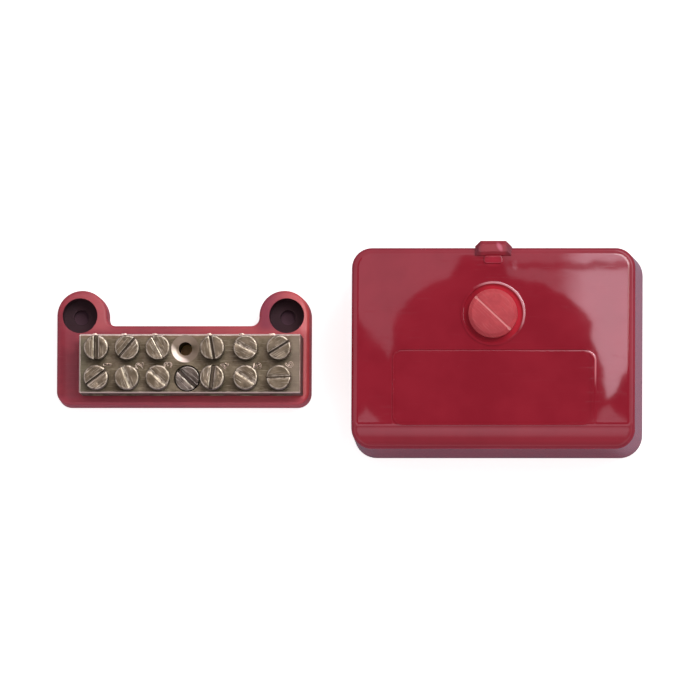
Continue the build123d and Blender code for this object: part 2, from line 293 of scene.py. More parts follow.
def bar_finish():
    """The bar's brass: drawn lengthwise, brown near its rear edge, greenish at its left end, painted paler
    at its right end as painted light, worn bright along its top edges, turned brighter in the countersink,
    and with a painted highlight on the countersink's lower left side."""
    finish, _, tone = brass(
        "bar_brass",
        colour=(0.165, 0.149, 0.095),
        tarnish=(0.086, 0.076, 0.044),
        bright=(0.34, 0.32, 0.22),
        rough=0.39,
    )
    green_end, brown_rear, lit_end = (0.125, 0.135, 0.085), (0.215, 0.135, 0.085), (0.215, 0.190, 0.140)
    worn_edge, dull_cone, lit_cone = (0.86, 0.78, 0.66), (0.270, 0.240, 0.168), (0.95, 0.92, 0.74)
    x, y, z = finish.parts(finish.place)
    drawn = finish.noise(finish.moved(finish.place, scale=(60.0, 2600.0, 2600.0)), 1.0, 3.0, 0.6)
    left = finish.rise(x, bar_low.x + 5.0 * MM, bar_low.x + 0.6 * MM)
    right = finish.rise(x, bar_high.x - 7.0 * MM, bar_high.x - 1.0 * MM)
    rear = finish.rise(y, bar_high.y - 2.2 * MM, bar_high.y - 0.5 * MM)
    tone = finish.mix(left * 0.55, tone, green_end)
    tone = finish.mix(rear * 0.45, tone, brown_rear)
    # Painted light: the right end is painted paler, as if it were more lit
    tone = finish.mix(right * 0.6, tone, lit_end)

    # Wear along the four top edges, its inner border wavy
    wave = finish.noise(finish.place, 500.0, 2.0) * 0.30 * MM
    rear_edge = finish.rise(y + wave, bar_high.y - 0.42 * MM, bar_high.y - 0.20 * MM)
    front_edge = finish.rise(y - wave, bar_low.y + 0.30 * MM, bar_low.y + 0.16 * MM)
    left_edge = finish.rise(x - wave, bar_low.x + 0.42 * MM, bar_low.x + 0.20 * MM)
    right_edge = finish.rise(x + wave, bar_high.x - 0.30 * MM, bar_high.x - 0.16 * MM)
    top = finish.rise(z, bar_high.z - 0.9 * MM, bar_high.z - 0.5 * MM)
    edges = rear_edge + front_edge * 0.7 + left_edge * 0.6 + right_edge * 0.8
    worn = finish.math("MINIMUM", edges * top, 1.0)
    tone = finish.mix(worn * 0.85, tone, worn_edge)

    # The countersink, turned, and lit on its side to the lower left
    from_x, from_y, below = finish.from_point(hole_axis)
    radius = finish.length(from_x, from_y)
    within = finish.rise(radius, COUNTERSINK_RADIUS + 0.3 * MM, COUNTERSINK_RADIUS)
    cone = within * finish.rise(below, -1.6 * MM, -1.2 * MM)
    lit = finish.rise(from_x + from_y, -2.2 * MM, -4.2 * MM) * finish.rise(radius, 2.6 * MM, 3.4 * MM)
    tone = finish.mix(cone * 0.80, tone, finish.mix(lit, dull_cone, lit_cone))
    finish.set(Base_Color=tone, Roughness=0.40 - worn * 0.08 - cone * 0.12 + 0.08 * drawn)
    rings = finish.math("SINE", radius * (2 * math.pi / TURNED_RING_PITCH)) * cone
    finish.relief(drawn * 1.2e-6 + rings * 2.5e-6 + finish.noise(finish.place, 240.0, 2.0) * 1.6e-5)
    return finish.material


def screw_finish(name, colour, tarnish, bright, rough):
    """A turned screw's metal on the piece's own coordinates: edges worn bright, a painted highlight on the
    floor of some slots, painted shade with some grime in the slots, between the thread's crests and on the
    head's under face, and each screw a little darker or lighter than the next."""
    # The dark colour of painted shade, with some grime, in the slots, between the thread's crests and under
    # the head
    grime = (0.035, 0.028, 0.020)
    finish, place, tone = brass(
        name, colour, tarnish, bright, rough, lambda finish: finish.layer("own_place", output=1)
    )
    wear, lot, deep = finish.layer("wear"), finish.layer("lot"), finish.layer("depth")
    tone = finish.mix(lot * 0.5, tone, tarnish)
    rub = finish.rise(finish.noise(place, 700.0, 3.0, 0.6), 0.30, 0.62)
    # Edges worn bright, and the painted highlight on the floor of some slots
    tone = finish.mix(wear * rub * 0.9, tone, bright)
    # Painted shade, with some grime, in the slots, between the thread's crests and under the head
    tone = finish.mix(deep * 0.75, tone, grime)
    finish.set(Base_Color=tone, Roughness=rough + 0.10 * lot - 0.10 * wear + 0.15 * deep)
    return finish.material


def base_finish():
    """The base's red moulding: flow marks, fine texture and scuffs; painted light that makes it paler to
    the right, a painted sheen at the front, ears that are painted brighter on their right as light and
    shade, and painted shade in the depth of its wells. Its upper edges are shaded as if they were rounder
    than they are."""
    finish = Finish("base_moulding")
    deep_red, plain_red, lit_red = (0.305, 0.024, 0.045), (0.410, 0.035, 0.056), (0.70, 0.095, 0.108)
    front_sheen_red, scuffed_red = (0.62, 0.085, 0.130), (0.70, 0.24, 0.24)
    shaded_ear, lit_ear = (0.300, 0.032, 0.072), (0.800, 0.130, 0.135)
    well_shade, bore_brown = (0.046, 0.021, 0.030), (0.850, 0.500, 0.140)
    x, y, z = finish.parts(finish.place)
    clouds = finish.noise(finish.place, 90.0, 4.0, 0.6, distortion=0.4)
    specks = finish.rise(finish.noise(finish.place, 1500.0, 2.0, 0.7), 0.70, 0.80)
    lines = finish.scratches(finish.place, turns=(25, 88, 140), scale=120.0, fineness=26.0, rarity=0.68)
    tone = finish.mix(finish.rise(clouds, 0.32, 0.68), deep_red, plain_red)
    # Painted light: paler towards the right; then a painted sheen along the front
    tone = finish.mix(finish.rise(x, -25 * MM, 45 * MM) * 0.85, tone, lit_red)
    tone = finish.mix(finish.rise(y, -26.0 * MM, -28.0 * MM) * 0.45, tone, front_sheen_red)
    tone = finish.mix(specks * 0.20 + lines * 0.05, tone, scuffed_red)

    # The ears, from their left to their right
    side = finish.math("SIGN", x)
    right_half = x > 0.0
    in_ears = finish.rise(y, -7.0 * MM, -3.0 * MM) * finish.rise(abs(x), 22.0 * MM, 27.0 * MM)
    rightward = finish.rise(x - side * WELL_X, -7.0 * MM, 7.0 * MM)
    tone = finish.mix(in_ears * (1.0 - rightward) * right_half * 0.85, tone, shaded_ear)
    tone = finish.mix(in_ears * rightward * (0.30 + 0.40 * right_half), tone, lit_ear)

    # Painted shade in the depth of the wells, and the floor that shows through the bar's hole
    from_well = finish.length(abs(x) - WELL_X, y)
    in_well = finish.rise(from_well, WELL_RADIUS + 0.25 * MM, WELL_RADIUS + 0.10 * MM)
    uneven = z + finish.noise(finish.place, 700.0) * 0.5 * MM
    well = in_well * finish.rise(uneven, BASE_TOP - 0.5 * MM, BASE_TOP - 1.3 * MM)
    tone = finish.mix(well * 0.97, tone, well_shade)
    bore_x, bore_y, _ = finish.from_point(hole_axis)
    bore = finish.rise(finish.length(bore_x, bore_y), 3.4 * MM, 2.9 * MM)
    tone = finish.mix(bore, tone, bore_brown)
    rough = 0.30 + 0.16 * clouds + 0.12 * lines + 0.35 * well
    finish.set(Base_Color=tone, Roughness=rough, IOR=1.5)

    # The upper face leans outwards towards the ends, round the ears, and at the front and rear
    upper = finish.rise(z, BASE_TOP - 0.5 * MM, BASE_TOP - 0.2 * MM)
    ends = finish.rise(abs(x), 38.0 * MM, 42.0 * MM) * side * (0.30 - 0.15 * in_ears * right_half)
    ears = in_ears * (x - side * EAR_X) * (9.0 + 4.0 * side)
    front = finish.rise(y, -26.5 * MM, -29.8 * MM) * -0.20
    rear = finish.rise(y, -6.5 * MM, -3.5 * MM) * 0.12
    finish.tilt((ends + ears) * upper, (front + rear) * upper)
    swell = finish.noise(finish.place, 130.0, 2.0) * 5.0e-5
    texture = finish.noise(finish.place, 1400.0, 2.0) * 2.5e-6
    finish.relief(swell + texture - lines * 3.0e-6)
    return finish.material


def cover_finish():
    """The cover's deep red, glossy moulding, with a few hairlines and dust. Its top is shaded as slightly
    crowned and uneven, so that reflections have wavy borders. The frame's corner, the recess, its lip, the
    pad, the lug and the front slope carry painted light, shade and reflection of their own."""
    finish = Finish("cover_moulding")
    deep_red, plain_red, dusty_red = (0.360, 0.0145, 0.032), (0.410, 0.0190, 0.039), (0.50, 0.10, 0.12)
    recess_glow_red, lit_sunk_red = (0.460, 0.018, 0.040), (0.74, 0.036, 0.066)
    frame_light, lip_light, lug_light = (0.95, 0.30, 0.36), (0.95, 0.42, 0.48), (0.92, 0.24, 0.36)
    slope_shade_red, slope_reflection, lug_shade_red, lit_pad_red = (
        (0.30, 0.008, 0.022),
        (0.85, 0.10, 0.18),
        (0.15, 0.008, 0.022),
        (0.62, 0.036, 0.072),
    )
    x, y, z = finish.from_point(cover_axis)
    radius = finish.length(x, y)
    clouds = finish.noise(finish.place, 55.0, 3.0, 0.55)
    lines = finish.scratches(finish.place, turns=(34, 64, 117, 150), scale=60.0, fineness=60.0, rarity=0.73)
    dust = finish.rise(finish.noise(finish.place, 2300.0, 1.0), 0.76, 0.82)
    tone = finish.mix(finish.rise(clouds, 0.34, 0.66), deep_red, plain_red)
    tone = finish.mix(dust * 0.25 + lines * 0.10, tone, dusty_red)

    # Painted light: the recess round the screw painted brighter than the top, as if light were reflected
    # into it, and most on its right
    toward_light = finish.rise(x + y * 0.6, -3.0 * MM, 6.0 * MM)
    sunk = finish.rise(radius, RECESS_RADIUS + 0.15 * MM, RECESS_RADIUS)
    tone = finish.mix(sunk, tone, finish.mix(toward_light, recess_glow_red, lit_sunk_red))

    # The raised frame's rear right corner, which catches the light
    frame_line = abs(
        finish.rounded(x - FRAME_X, y - FRAME_Y, FRAME_HALF_WIDE, FRAME_HALF_TALL, FRAME_CORNER)
    )
    lit_corner = finish.spot(x - 33.0 * MM, y + 16.0 * MM, 3.5 * MM, 9.0 * MM)
    tone = finish.mix(finish.rise(frame_line, 0.40 * MM, 0.15 * MM) * lit_corner * 0.8, tone, frame_light)

    # The front slope's lower edge: painted shade, with painted reflection streaks along it
    brow = finish.rise(z, -7.0 * MM, -5.0 * MM)
    streaks = finish.noise(finish.moved(finish.place, scale=(30.0, 900.0, 900.0)), 1.0, 2.0)
    low_slope = finish.rise(y, -41.5 * MM, -43.0 * MM) * brow
    reflected_streaks = finish.rise(streaks, 0.56, 0.66) * finish.rise(y, -42.0 * MM, -43.2 * MM) * brow
    tone = finish.mix(low_slope * 0.5, tone, slope_shade_red)
    tone = finish.mix(reflected_streaks * 0.5, tone, slope_reflection)

    # Painted light on the pad in front of the seal lug, painted shade at the lug's ends, and one painted
    # highlight on the lug
    pad = finish.spot(x, y - PAD_Y, 4.0 * MM, 2.2 * MM)
    tone = finish.mix(pad * 0.6, tone, lit_pad_red)
    lug = finish.rise(y, LUG_FRONT, LUG_FRONT + 0.5 * MM)
    lug = lug * finish.rise(abs(x), LUG_HALF_WIDTH + 0.4 * MM, LUG_HALF_WIDTH)
    lug = lug * finish.rise(z, -0.9 * MM, -0.3 * MM)
    tone = finish.mix(lug * finish.rise(abs(x), 3.4 * MM, 5.0 * MM) * 0.7, tone, lug_shade_red)
    highlight = finish.spot(x + y * 0.4 - 10.9 * MM, y - 21.9 * MM, 1.1 * MM, 1.9 * MM)
    tone = finish.mix(lug * highlight * 0.6, tone, lug_light)

    # The recess's lip, bright to the right
    lip = finish.rise(abs(radius - LIP_RADIUS), 0.50 * MM, 0.15 * MM)
    tone = finish.mix(lip * finish.rise(x + y, 2.0 * MM, 10.0 * MM) * 0.8, tone, lip_light)
    finish.set(Base_Color=tone, Roughness=0.02 + 0.02 * clouds + 0.06 * lines + 0.25 * lug, IOR=1.5)

    # The crown, two sizes of waviness, the bend of the slope, and a small sink mark beside the lug
    sway_x, sway_y, _ = finish.parts(finish.noise(finish.place, 34.0, 2.0, 0.5, output=1))
    ripple_x, ripple_y, ripple_z = finish.parts(finish.noise(finish.place, 140.0, 2.0, 0.5, output=1))
    bend = finish.rise(y, -37.0 * MM, -38.5 * MM) * ((y + 41.0 * MM) * 50.0)
    sink = finish.spot(x - 7.2 * MM, y - 16.0 * MM, 1.9 * MM, 3.0 * MM) * (0.022 + 0.030 * (ripple_z - 0.5))
    lean_x = x * COVER_CROWN + (sway_x - 0.5) * 0.007 + (ripple_x - 0.5) * 0.005 + sink
    lean_y = y * COVER_CROWN + (sway_y - 0.5) * 0.007 + (ripple_y - 0.5) * 0.005 + bend
    finish.tilt(lean_x, lean_y)
    border = finish.rise(frame_line, 0.42 * MM, 0.12 * MM) * finish.rise(y, -36.8 * MM, -35.8 * MM)
    height = finish.noise(finish.place, 420.0, 2.0) * 4.0e-7 - lines * 6.0e-7
    finish.relief(height + border * 4.5e-5 + lip * toward_light * 5.0e-5)
    return finish.material


def cover_screw_finish():
    """The cover screw's insulating head: matte coral moulding with flow lines and a few paler scratches,
    painted shade towards its front, and a slot painted pale as a painted highlight."""
    finish = Finish("cover_screw_moulding")
    dull_coral, coral = (0.560, 0.056, 0.072), (0.680, 0.078, 0.094)
    shaded_coral, rubbed_and_lit_coral = (0.400, 0.036, 0.050), (1.0, 0.40, 0.40)
    place = finish.layer("own_place", output=1)
    wear = finish.layer("wear")
    clouds = finish.noise(place, 240.0, 4.0, 0.6, distortion=0.6)
    lines = finish.scratches(place, turns=(20, 95, 150), scale=160.0, fineness=24.0, rarity=0.66)
    tone = finish.mix(finish.rise(clouds, 0.3, 0.7), dull_coral, coral)
    x, y, _ = finish.from_point(cover_axis)
    tone = finish.mix(finish.rise(x * 0.4 + y, 1.0 * MM, -8.0 * MM) * 0.60, tone, shaded_coral)
    # Painted highlight on the slot and its edges, and paler fine scratches
    tone = finish.mix(finish.rise(wear, 0.60, 1.00) * 0.70 + lines * 0.10, tone, rubbed_and_lit_coral)
    finish.set(Base_Color=tone, Roughness=0.55 + 0.12 * clouds, IOR=1.45)
    finish.relief(finish.noise(place, 1300.0, 3.0, 0.6) * 5.0e-6 + finish.noise(place, 200.0, 2.0) * 3.0e-5)
    return finish.material


def plain_metal_finish(name, colour, dark, rough):
    """Mottled metal with fine scratches: the hidden nut's plating, the dark of the digits' strokes, which
    is painted shade, and the brass that the burrs lay open."""
    finish = Finish(name)
    scratched = (0.8, 0.78, 0.74)
    mottle = finish.rise(finish.noise(finish.place, 600.0, 4.0, 0.6), 0.35, 0.65)
    lines = finish.scratches(finish.place, turns=(35, 110), scale=300.0, fineness=18.0, rarity=0.66)
    tone = finish.mix(lines * 0.3, finish.mix(mottle, dark, colour), scratched)
    finish.set(Base_Color=tone, Metallic=0.95, Roughness=rough + 0.15 * mottle)
    finish.relief(finish.noise(finish.place, 900.0, 2.0) * 4.0e-6)
    return finish.material


def fibre_finish():
    """Vulcanised fibre: brown-red, with short fibres and a dull surface."""
    finish = Finish("washer_fibre")
    dark_brown, red_brown, fibre_brown = (0.10, 0.030, 0.018), (0.20, 0.060, 0.030), (0.30, 0.12, 0.07)
    fibres = finish.scratches(finish.place, turns=(0, 40, 85, 130), scale=500.0, fineness=9.0, rarity=0.58)
    clouds = finish.noise(finish.place, 500.0, 3.0)
    tone = finish.mix(clouds, dark_brown, red_brown)
    finish.set(Base_Color=finish.mix(fibres * 0.35, tone, fibre_brown), Roughness=0.7 + 0.15 * clouds)
    finish.relief(fibres * 3.0e-6)
    return finish.material


def floor_finish():
    """A plain pale floor that looks white to the camera and still takes the object's soft shadow. It has
    painted shade under the two fixing holes, and is muted in reflections."""
    finish = Finish("pale_floor")
    mirrored_tone, hole_shade = (0.31, 0.22, 0.36), (0.15, 0.068, 0.100)
    seen = finish.node("ShaderNodeLightPath", output=0)
    mirrored = finish.node("ShaderNodeLightPath", output=3)
    x, y, _ = finish.parts(finish.place)
    clear = finish.rise(finish.length(abs(x) - WELL_X, y), 3.2 * MM, 4.2 * MM)
    tone = finish.mix(finish.noise(finish.place, 14.0, 2.0), (0.90, 0.90, 0.90), (0.93, 0.93, 0.93))
    tone = finish.mix(mirrored * 0.8, tone, mirrored_tone)
    # Painted shade under the two fixing holes, where the emission for the camera is also left off
    finish.set(Base_Color=finish.mix(clear, hole_shade, tone), Roughness=0.75)
    finish.set(Emission_Color=finish.mix(seen * clear, (0, 0, 0), (0.72, 0.72, 0.72)), Emission_Strength=1.0)
    return finish.material


base_red = base_finish()
bar_brass = bar_finish()
screw_brass = screw_finish(
    "screw_brass",
    colour=(0.193, 0.173, 0.116),
    tarnish=(0.105, 0.091, 0.056),
    bright=(0.78, 0.78, 0.60),
    rough=0.33,
)
fixing_steel = screw_finish(
    "fixing_steel",
    colour=(0.135, 0.124, 0.097),
    tarnish=(0.076, 0.068, 0.050),
    bright=(0.70, 0.71, 0.60),
    rough=0.34,
)
stud_brass = screw_finish(
    "stud_brass",
    colour=(0.62, 0.48, 0.25),
    tarnish=(0.34, 0.25, 0.13),
    bright=(0.9, 0.78, 0.5),
    rough=0.30,
)
cover_red = cover_finish()
head_coral = cover_screw_finish()
nut_steel = plain_metal_finish("nut_steel", colour=(0.52, 0.50, 0.47), dark=(0.30, 0.28, 0.26), rough=0.32)
washer_brown = fibre_finish()

for node, material in (
    ("base", base_red),
    ("terminal_bar", bar_brass),
    ("cover", cover_red),
    ("bar_fixing_nut", nut_steel),
    ("cover_screw_washer", washer_brown),
):
    mesh = nodes[node].data
    mesh.materials.clear()
    mesh.materials.append(material)


# Points of a mesh nearer than this become one, and edges shorter than this are taken out, in metres
MERGE_DISTANCE = 2e-6
TOO_SHORT = 1e-7


def lattice(rows, columns, start, closed):
    """The four corners of each cell of a grid of points, whose columns may close on themselves."""
    down = np.arange(rows - 1)[:, None]
    along = np.arange(columns if closed else columns - 1)[None, :]
    beyond = (along + 1) % columns
    corners = (
        down * columns + along,
        down * columns + beyond,
        (down + 1) * columns + beyond,
        (down + 1) * columns + along,
    )
    return np.stack([corner + start for corner in corners], axis=-1).reshape(-1, 4)


def piece(name, sheets, material, layers=None, sharp=35.0):
    """A mesh of several grids of points, each given as (points, closed); points that meet become one.
    layers holds one value or vector for each point, under the layer's name. Edges sharper than sharp
    degrees are shaded as edges."""
    points = np.concatenate([sheet.reshape(-1, 3) for sheet, _ in sheets])
    cells, start = [], 0
    for sheet, closed in sheets:
        rows, columns = sheet.shape[:2]
        cells.append(lattice(rows, columns, start, closed))
        start += rows * columns
    mesh = bpy.data.meshes.new(name)
    mesh.from_pydata(points, [], np.concatenate(cells))
    for layer, values in (layers or {}).items():
        wide = values.ndim == 2
        held = mesh.attributes.new(layer, "FLOAT_VECTOR" if wide else "FLOAT", "POINT")
        held.data.foreach_set("vector" if wide else "value", values.astype(np.float32).ravel())
    shape = bmesh.new()
    shape.from_mesh(mesh)
    bmesh.ops.remove_doubles(shape, verts=shape.verts, dist=MERGE_DISTANCE)
    bmesh.ops.dissolve_degenerate(shape, dist=TOO_SHORT, edges=shape.edges)
    bmesh.ops.recalc_face_normals(shape, faces=shape.faces)
    shape.to_mesh(mesh)
    shape.free()
    mesh.shade_smooth()
    mesh.set_sharp_from_angle(angle=math.radians(sharp))
    mesh.materials.append(material)
    made = bpy.data.objects.new(name, mesh)
    bpy.context.scene.collection.objects.link(made)
    return made


# How far outside a slot's mouth the lines of a head's grid lie where the metal is worn, in millimetres
WORN_LINES = (0.0, 0.05, 0.11, 0.18, 0.27, 0.38, 0.52)
WORN_REACH = 0.6
LINES_ACROSS = 22
LINES_ALONG = 45
RINGS_BELOW = 5
DENTS = 11


def slotted_head(radius, height, rim, bevelled, mouth, floor, depth, lip, chatter, slot_shade_and_grime, slot_glint, rng):
    """A round head cut by a slot. Row v lies across the slot and column s along it, at
    s * sqrt(radius^2 - v^2). The top stands at height less the fall of a quarter round or a bevel of size
    rim at the edge, and less lip * exp(-distance / lip) along the slot's worn edges. Between the slot's
    walls it drops by depth, to a floor narrower than the slot's mouth. Low swells and a few dents of
    depth chatter are added. The sheets come with two values for each point: wear, which is high on the
    rim and the slot's edges and holds a painted highlight on the slot's floor; and depth, which holds
    painted shade with some grime on the slot's floor and painted shade on the whole under face."""
    outer = mouth / 2 + (radius - mouth / 2) * np.sin(np.linspace(0, np.pi / 2, LINES_ACROSS))
    worn = mouth / 2 + np.array(WORN_LINES)
    beyond = np.concatenate([worn, outer[outer > mouth / 2 + WORN_REACH]])
    inside = np.linspace(floor / 2, 0, 4)[:-1]
    v = np.concatenate([-beyond[::-1], -inside, [0.0], inside[::-1], beyond])
    low = np.abs(v) < (mouth + floor) / 4
    s = np.sin(np.linspace(-np.pi / 2, np.pi / 2, LINES_ALONG))
    u = s[None, :] * np.sqrt(np.maximum(radius**2 - v[:, None] ** 2, 0.0))
    v = np.broadcast_to(v[:, None], u.shape)
    low = np.broadcast_to(low[:, None], u.shape)
    near_rim = np.clip((np.hypot(u, v) - (radius - rim)) / rim, 0, 1)
    round_fall = 1 - np.sqrt(1 - near_rim**2)
    bevel_fall = 0.8 * near_rim * (0.3 + 0.7 * np.minimum(near_rim * 3, 1))
    fall = rim * (bevel_fall if bevelled else round_fall)
    from_slot = np.maximum(np.abs(v) - mouth / 2, 0)
    phase = rng.uniform(0, 6.3, 6)
    wavy = 0.5 + 0.25 * np.sin(2.1 * u + phase[0]) + 0.25 * np.sin(4.7 * u + phase[1])
    lip_fall = lip * (0.6 + 0.4 * wavy) * np.exp(-from_slot / lip)
    swell = 0.03 * np.sin(1.3 * u + phase[2]) * np.sin(1.1 * v + phase[3]) * (1 - near_rim) - 0.03
    dents = np.zeros_like(u)
    for _ in range(DENTS):
        angle = rng.uniform(0, 6.3)
        reach = radius * np.sqrt(rng.uniform(0, 0.95))
        size = rng.uniform(0.15, 0.45)
        gap = np.hypot(u - reach * np.cos(angle), v - reach * np.sin(angle))
        dents += chatter * rng.uniform(0.4, 1.4) * np.exp(-((gap / size) ** 2))
    z = height - fall + np.where(low, -depth, -lip_fall + swell - dents)
    top = np.stack([u, v, np.minimum(z, height)], axis=-1)

    # The skirt falls from the top's edge to the seat, and the under face closes it to the axis
    edge = np.concatenate([top[:, -1], top[::-1, 0]])[None]
    share = np.linspace(1, 0, RINGS_BELOW)[:, None, None]
    skirt = edge * np.concatenate([share**0, share**0, share], axis=-1)
    under = edge * np.concatenate([share, share, 0 * share], axis=-1)
    rim_wear = np.exp(-(((near_rim - 0.5) / 0.45) ** 2)) * (near_rim > 0)
    wear_top = np.clip(0.6 * rim_wear + np.exp(-from_slot / 0.16) * ~low, 0, 1)
    # A painted highlight on the slot's floor, standing for its lit wall
    wear_top = np.where(low, slot_glint, wear_top)
    points = skirt[..., 0].size
    wear = [wear_top.ravel(), np.full(points, 0.25), np.zeros(points)]
    # Painted shade with some grime on the slot's floor, and painted shade over the whole under face
    deep = [(slot_shade_and_grime * low).ravel(), np.zeros(points), np.ones(points)]
    return [(top, False), (skirt, True), (under, True)], wear, deep


THREAD_SIDES = 36
THREAD_ROWS_A_TURN = 8


def threaded_shank(radius, length, pitch, depth, tip, start=0.12):
    """A shank whose radius at angle a and height z is the major radius less depth times a triangle wave of
    z / pitch - a / turn, drawn in to a cone over the tip's last part and closed at both ends. It comes
    with its wear, high on the crests, and its painted shade with some grime, deep between them."""
    around = np.linspace(0, 2 * np.pi, THREAD_SIDES, endpoint=False)[None, :]
    rows = int(round(length / pitch * THREAD_ROWS_A_TURN))
    z = np.linspace(start, -length, rows)[:, None]
    wave = 2 * np.abs((z / pitch - around / (2 * np.pi)) % 1.0 - 0.5)
    reach = radius - depth * wave
    reach = np.minimum(reach, radius - tip + (z + length))
    ring = np.stack([reach * np.cos(around), reach * np.sin(around), z + 0 * around], axis=-1)
    on_axis = np.array([0.0, 0.0, 1.0])
    shank = np.concatenate([ring[:1] * on_axis, ring, ring[-1:] * on_axis])
    end = np.zeros((1, THREAD_SIDES))
    hollow = np.concatenate([end, wave, end])
    return (shank, True), 0.5 * (1 - hollow).ravel(), (0.55 * hollow).ravel()


def own_points(sheets):
    """The points of several grids in one array."""
    return np.concatenate([sheet.reshape(-1, 3) for sheet, _ in sheets])


def set_down(sheets, angle, seat):
    """Grids in millimetres about their own axis, turned by an angle in degrees and moved to their seat."""
    c, s = math.cos(math.radians(angle)), math.sin(math.radians(angle))
    spin = np.array([[c, s, 0], [-s, c, 0], [0, 0, 1]])
    return [((sheet @ spin) * MM + np.array(seat), closed) for sheet, closed in sheets]


def screw(name, node, body, material, seat, angle, head, shank, seed):
    """A slotted screw in millimetres about its own axis, turned to its slot's angle and set down on its
    seat. Each has its own part of the metal's pattern, and its own lot between dark and light."""
    rng = np.random.default_rng(seed)
    sheets, wear, deep = slotted_head(**head, rng=rng)
    thread, thread_wear, thread_deep = threaded_shank(**shank)
    sheets = sheets + [thread]
    own = own_points(sheets)
    lot = np.full(len(own), rng.uniform(0, 1))
    layers = {
        "own_place": (own + rng.uniform(-300, 300, 3)) * MM,
        "wear": np.concatenate(wear + [thread_wear]),
        "depth": np.concatenate(deep + [thread_deep]),
        "lot": lot,
    }
    made = piece(name, set_down(sheets, angle, seat), material, layers)
    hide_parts(node)
    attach(made, body)


# For each way from the left: the slot's angle as seen from above, its width at the mouth and at the
# floor, its depth, how much painted shade with some grime lies on its floor, and how much painted
# highlight. A worn or filled slot is shallow.
SLOTS = {
    "rear": (
        (90, 1.50, 0.95, 1.4, 0.80, 0.00),
        (50, 0.85, 0.55, 1.5, 0.95, 0.00),
        (118, 0.50, 0.34, 0.10, 0.20, 0.00),
        (100, 0.95, 0.60, 1.4, 0.95, 0.00),
        (-27, 0.70, 0.50, 0.80, 0.25, 0.70),
        (32, 0.75, 0.50, 1.5, 1.00, 0.00),
    ),
    "front": (
        (37, 0.80, 0.50, 1.5, 1.00, 0.00),
        (-69, 0.85, 0.55, 0.80, 0.35, 0.65),
        (-42, 0.70, 0.45, 0.80, 0.20, 0.75),
        (83, 1.35, 0.90, 1.5, 0.90, 0.00),
        (-34, 0.70, 0.45, 0.80, 0.25, 0.70),
        (3, 0.60, 0.40, 0.50, 0.75, 0.00),
    ),
}
CLAMPING_HEAD = {"radius": 4.075, "height": 3.3, "rim": 0.60, "bevelled": False, "chatter": 0.05}
CLAMPING_SHANK = {"radius": 2.49, "length": 8.0, "pitch": 0.8, "depth": 0.42, "tip": 0.6}
for way in range(WAYS):
    for row in ROWS:
        node = f"terminal_screw_{way + 1}_{row}"
        centre = middle(node)
        angle, mouth, floor, depth, slot_shade_and_grime, slot_glint = SLOTS[row][way]
        slot = {"mouth": mouth, "floor": floor, "depth": depth, "slot_shade_and_grime": slot_shade_and_grime, "slot_glint": slot_glint}
        screw(
            f"clamping_screw_{way + 1}_{row}",
            node,
            f"{node}_body",
            screw_brass,
            seat=(centre.x, centre.y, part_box(node)[1].z - CLAMPING_HEAD["height"] * MM),
            angle=angle,
            head={**CLAMPING_HEAD, **slot, "lip": min(0.20, depth / 2)},
            shank=CLAMPING_SHANK,
            seed=41 + 7 * way + (row == "front"),
        )

FIXING_HEAD = {
    "radius": 4.1,
    "height": 2.5,
    "rim": 0.40,
    "bevelled": False,
    "mouth": 1.20,
    "floor": 0.80,
    "depth": 1.0,
    "lip": 0.25,
    "chatter": 0.02,
    "slot_shade_and_grime": 0.85,
    "slot_glint": 0.0,
}
centre = middle("bar_fixing_screw")
screw(
    "bar_screw",
    "bar_fixing_screw",
    "block",
    fixing_steel,
    seat=(centre.x, centre.y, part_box("bar_fixing_screw")[1].z - FIXING_HEAD["height"] * MM),
    angle=-43,
    head=FIXING_HEAD,
    shank={"radius": 1.99, "length": 20.0, "pitch": 0.7, "depth": 0.36, "tip": 0.6},
    seed=5,
)

CAP = {
    "radius": 8.05,
    "height": (cover_head_high.z - cover_head_low.z) / MM,
    "rim": 1.25,
    "bevelled": True,
    "mouth": 0.50,
    "floor": 0.30,
    "depth": 0.22,
    "lip": 0.14,
    "chatter": 0.02,
    "slot_shade_and_grime": 0.0,
    "slot_glint": 1.0,
}
CAP_SLOT_ANGLE = -43
CAP_SEED = 9


def cover_screw_head():
    """The insulating head: the same slotted form, wider, with a bevelled rim and a shallow, pale slot. Its
    under face is closed, so the stud stands against it."""
    sheets, wear, _ = slotted_head(**CAP, rng=np.random.default_rng(CAP_SEED))
    seat = (cover_axis.x, cover_axis.y, cover_head_low.z)
    layers = {"own_place": own_points(sheets) * MM, "wear": np.concatenate(wear)}
    made = piece("cover_screw_cap", set_down(sheets, CAP_SLOT_ANGLE, seat), head_coral, layers)
    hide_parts("cover_screw_head")
    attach(made, "cover_screw")


STUD_RADIUS = 2.14
STUD_NECK = 9.0
STUD_THREAD = {"pitch": 0.7, "depth": 0.36, "tip": 0.5, "start": 0.0}


def cover_screw_stud():
    """The captive stud: a plain neck below the head and a metric thread over its lower part."""
    length = (stud_high.z - stud_low.z) / MM
    (shank, closed), wear, deep = threaded_shank(STUD_RADIUS, length, **STUD_THREAD)
    reach = np.maximum(np.hypot(shank[..., 0], shank[..., 1]), 1e-9)
    neck = (shank[..., 2] > -STUD_NECK) & (reach > 1e-6)
    for across_axis in (0, 1):
        plain = shank[..., across_axis] * STUD_RADIUS / reach
        shank[..., across_axis] = np.where(neck, plain, shank[..., across_axis])
    own = shank.reshape(-1, 3)
    seat = np.array((cover_axis.x, cover_axis.y, stud_high.z))
    layers = {"own_place": own * MM, "wear": wear, "depth": deep, "lot": np.zeros(len(own))}
    made = piece("cover_screw_thread", [(shank * MM + seat, closed)], stud_brass, layers)
    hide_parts("cover_screw_stud")
    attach(made, "cover_screw")


cover_screw_head()
cover_screw_stud()


# A capital or digit is this share of its font's size
DIGIT_SHARE = 0.7


